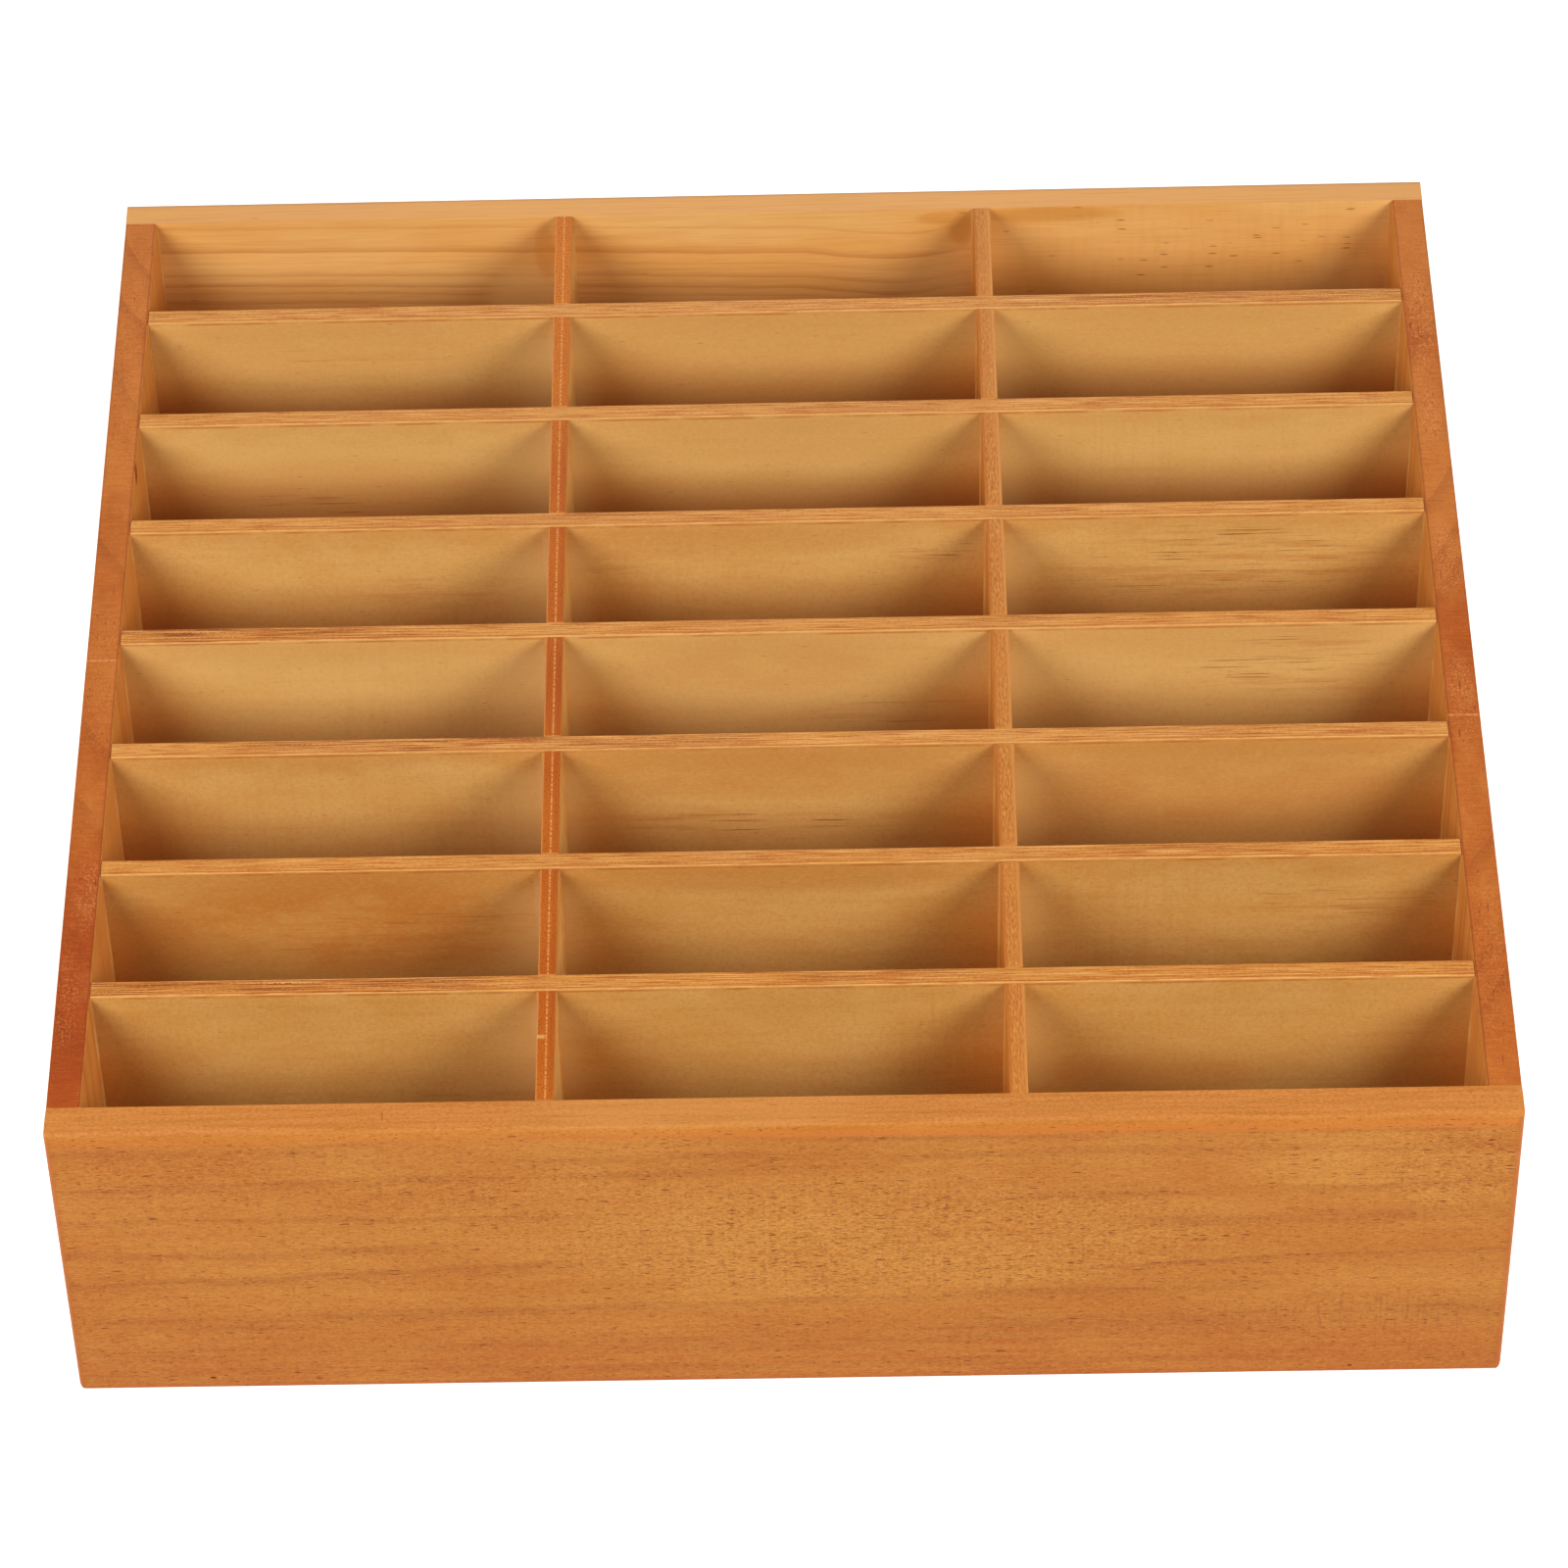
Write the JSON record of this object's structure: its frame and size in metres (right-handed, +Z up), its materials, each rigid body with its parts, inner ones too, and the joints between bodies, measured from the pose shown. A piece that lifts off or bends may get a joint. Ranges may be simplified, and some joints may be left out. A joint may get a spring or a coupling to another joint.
{
  "type": "compartment storage box",
  "caption": "Open wooden box with a sloping top, split by an egg-crate grid of thin plywood dividers into rows of narrow upright compartments.",
  "frame": {"origin": "centre of the underside, where the lower edges of the four boards stand on a table", "axes": "+X to the right along the front board, +Y from the low front to the high back, +Z up"},
  "size_m": [0.34, 0.282, 0.1553],
  "materials": {
    "end_board": "satin honey-stained softwood",
    "side_board": "satin honey-stained softwood, end grain on top",
    "base_plywood": "satin stained thin plywood",
    "cross_divider_plywood": "satin honey-stained plywood",
    "long_divider_plywood": "satin honey-stained plywood"
  },
  "bodies": {
    "root": {"front_board": "end_board", "back_board": "end_board", "left_front_stave": "side_board", "left_rear_stave": "side_board", "right_front_stave": "side_board", "right_rear_stave": "side_board", "base_panel": "base_plywood", "cross_divider_1": "cross_divider_plywood", "cross_divider_2": "cross_divider_plywood", "cross_divider_3": "cross_divider_plywood", "cross_divider_4": "cross_divider_plywood", "cross_divider_5": "cross_divider_plywood", "cross_divider_6": "cross_divider_plywood", "cross_divider_7": "cross_divider_plywood", "long_divider_1": "long_divider_plywood", "long_divider_2": "long_divider_plywood"}
  },
  "joints": []
}
